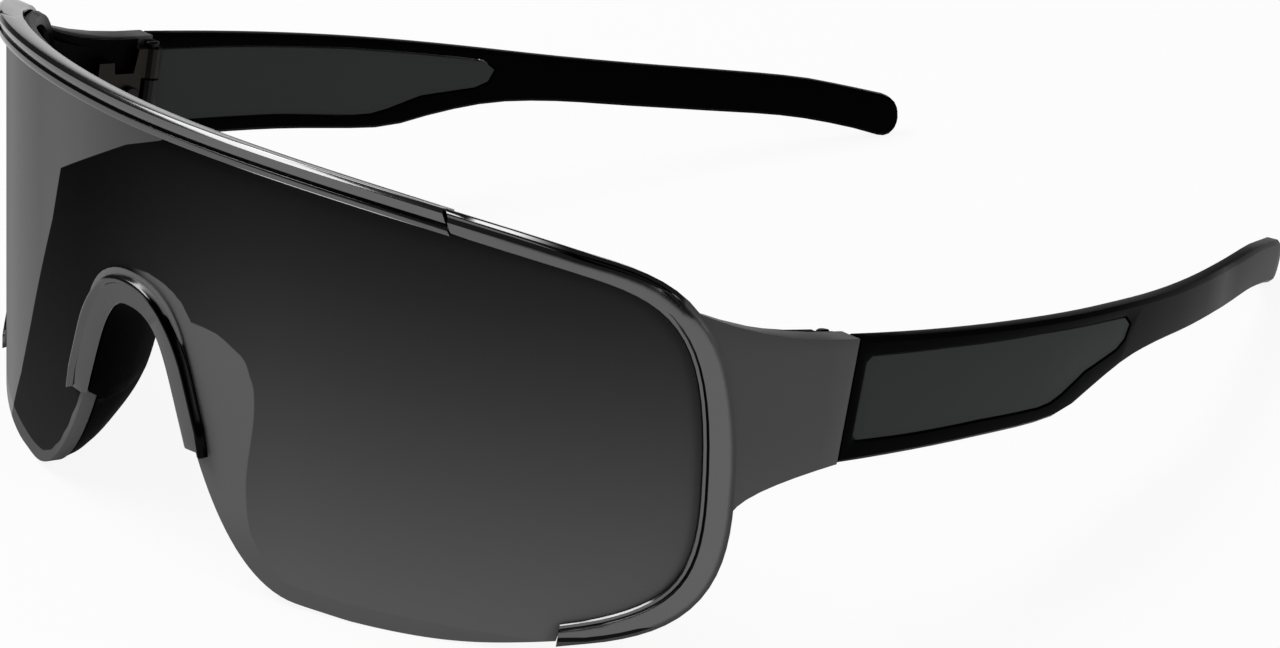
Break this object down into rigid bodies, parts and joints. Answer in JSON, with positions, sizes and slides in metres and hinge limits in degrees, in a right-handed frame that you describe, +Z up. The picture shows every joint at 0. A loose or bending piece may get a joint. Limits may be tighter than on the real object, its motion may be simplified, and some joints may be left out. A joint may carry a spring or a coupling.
{
  "type": "sports glasses",
  "caption": "Wrap-around shield sports glasses with a one-piece smoke lens, gunmetal brow and side trim, a rubber nose saddle and folding side arms with windows.",
  "frame": {"origin": "middle of the bounding box's underside, on the surface that the glasses stand on", "axes": "+X towards the wearer's left, +Y from the lens back to the arm tips, +Z up; the glasses face -Y"},
  "size_m": [0.1368, 0.1692, 0.0552],
  "materials": {
    "black_nylon": "gloss black moulding",
    "gunmetal_coating": "dark gunmetal metallised coating, satin",
    "smoke_lens": "polished gradient smoke with a slight mirror, nearly opaque",
    "black_rubber": "soft matt black",
    "smoke_insert": "satin smoke grey",
    "hinge_steel": "dull dark steel"
  },
  "bodies": {
    "front": {"inner_frame": "black_nylon", "brow_trim": "gunmetal_coating", "left_rim_cover": "gunmetal_coating", "right_rim_cover": "gunmetal_coating", "shield_lens": "smoke_lens", "nose_bridge_trim": "gunmetal_coating", "nose_pad": "black_rubber", "left_frame_hinge": "hinge_steel", "right_frame_hinge": "hinge_steel", "left_hinge_screw": "hinge_steel", "right_hinge_screw": "hinge_steel", "left_leaf_screw_1": "hinge_steel", "left_leaf_screw_2": "hinge_steel", "right_leaf_screw_1": "hinge_steel", "right_leaf_screw_2": "hinge_steel"},
    "left_arm": {"left_temple": "black_nylon", "left_temple_window": "smoke_insert", "left_temple_hinge": "hinge_steel"},
    "right_arm": {"right_temple": "black_nylon", "right_temple_window": "smoke_insert", "right_temple_hinge": "hinge_steel"}
  },
  "joints": [
    {"name": "left_fold", "type": "hinge", "parent": "front", "child": "left_arm", "pos_m": [0.06371, -0.0347, 0.02719], "axis": [0, 0.2007, 0.9796], "range_deg": [0, 84]},
    {"name": "right_fold", "type": "hinge", "parent": "front", "child": "right_arm", "pos_m": [-0.06371, -0.0347, 0.02719], "axis": [0, -0.2007, -0.9796], "range_deg": [0, 71]}
  ]
}
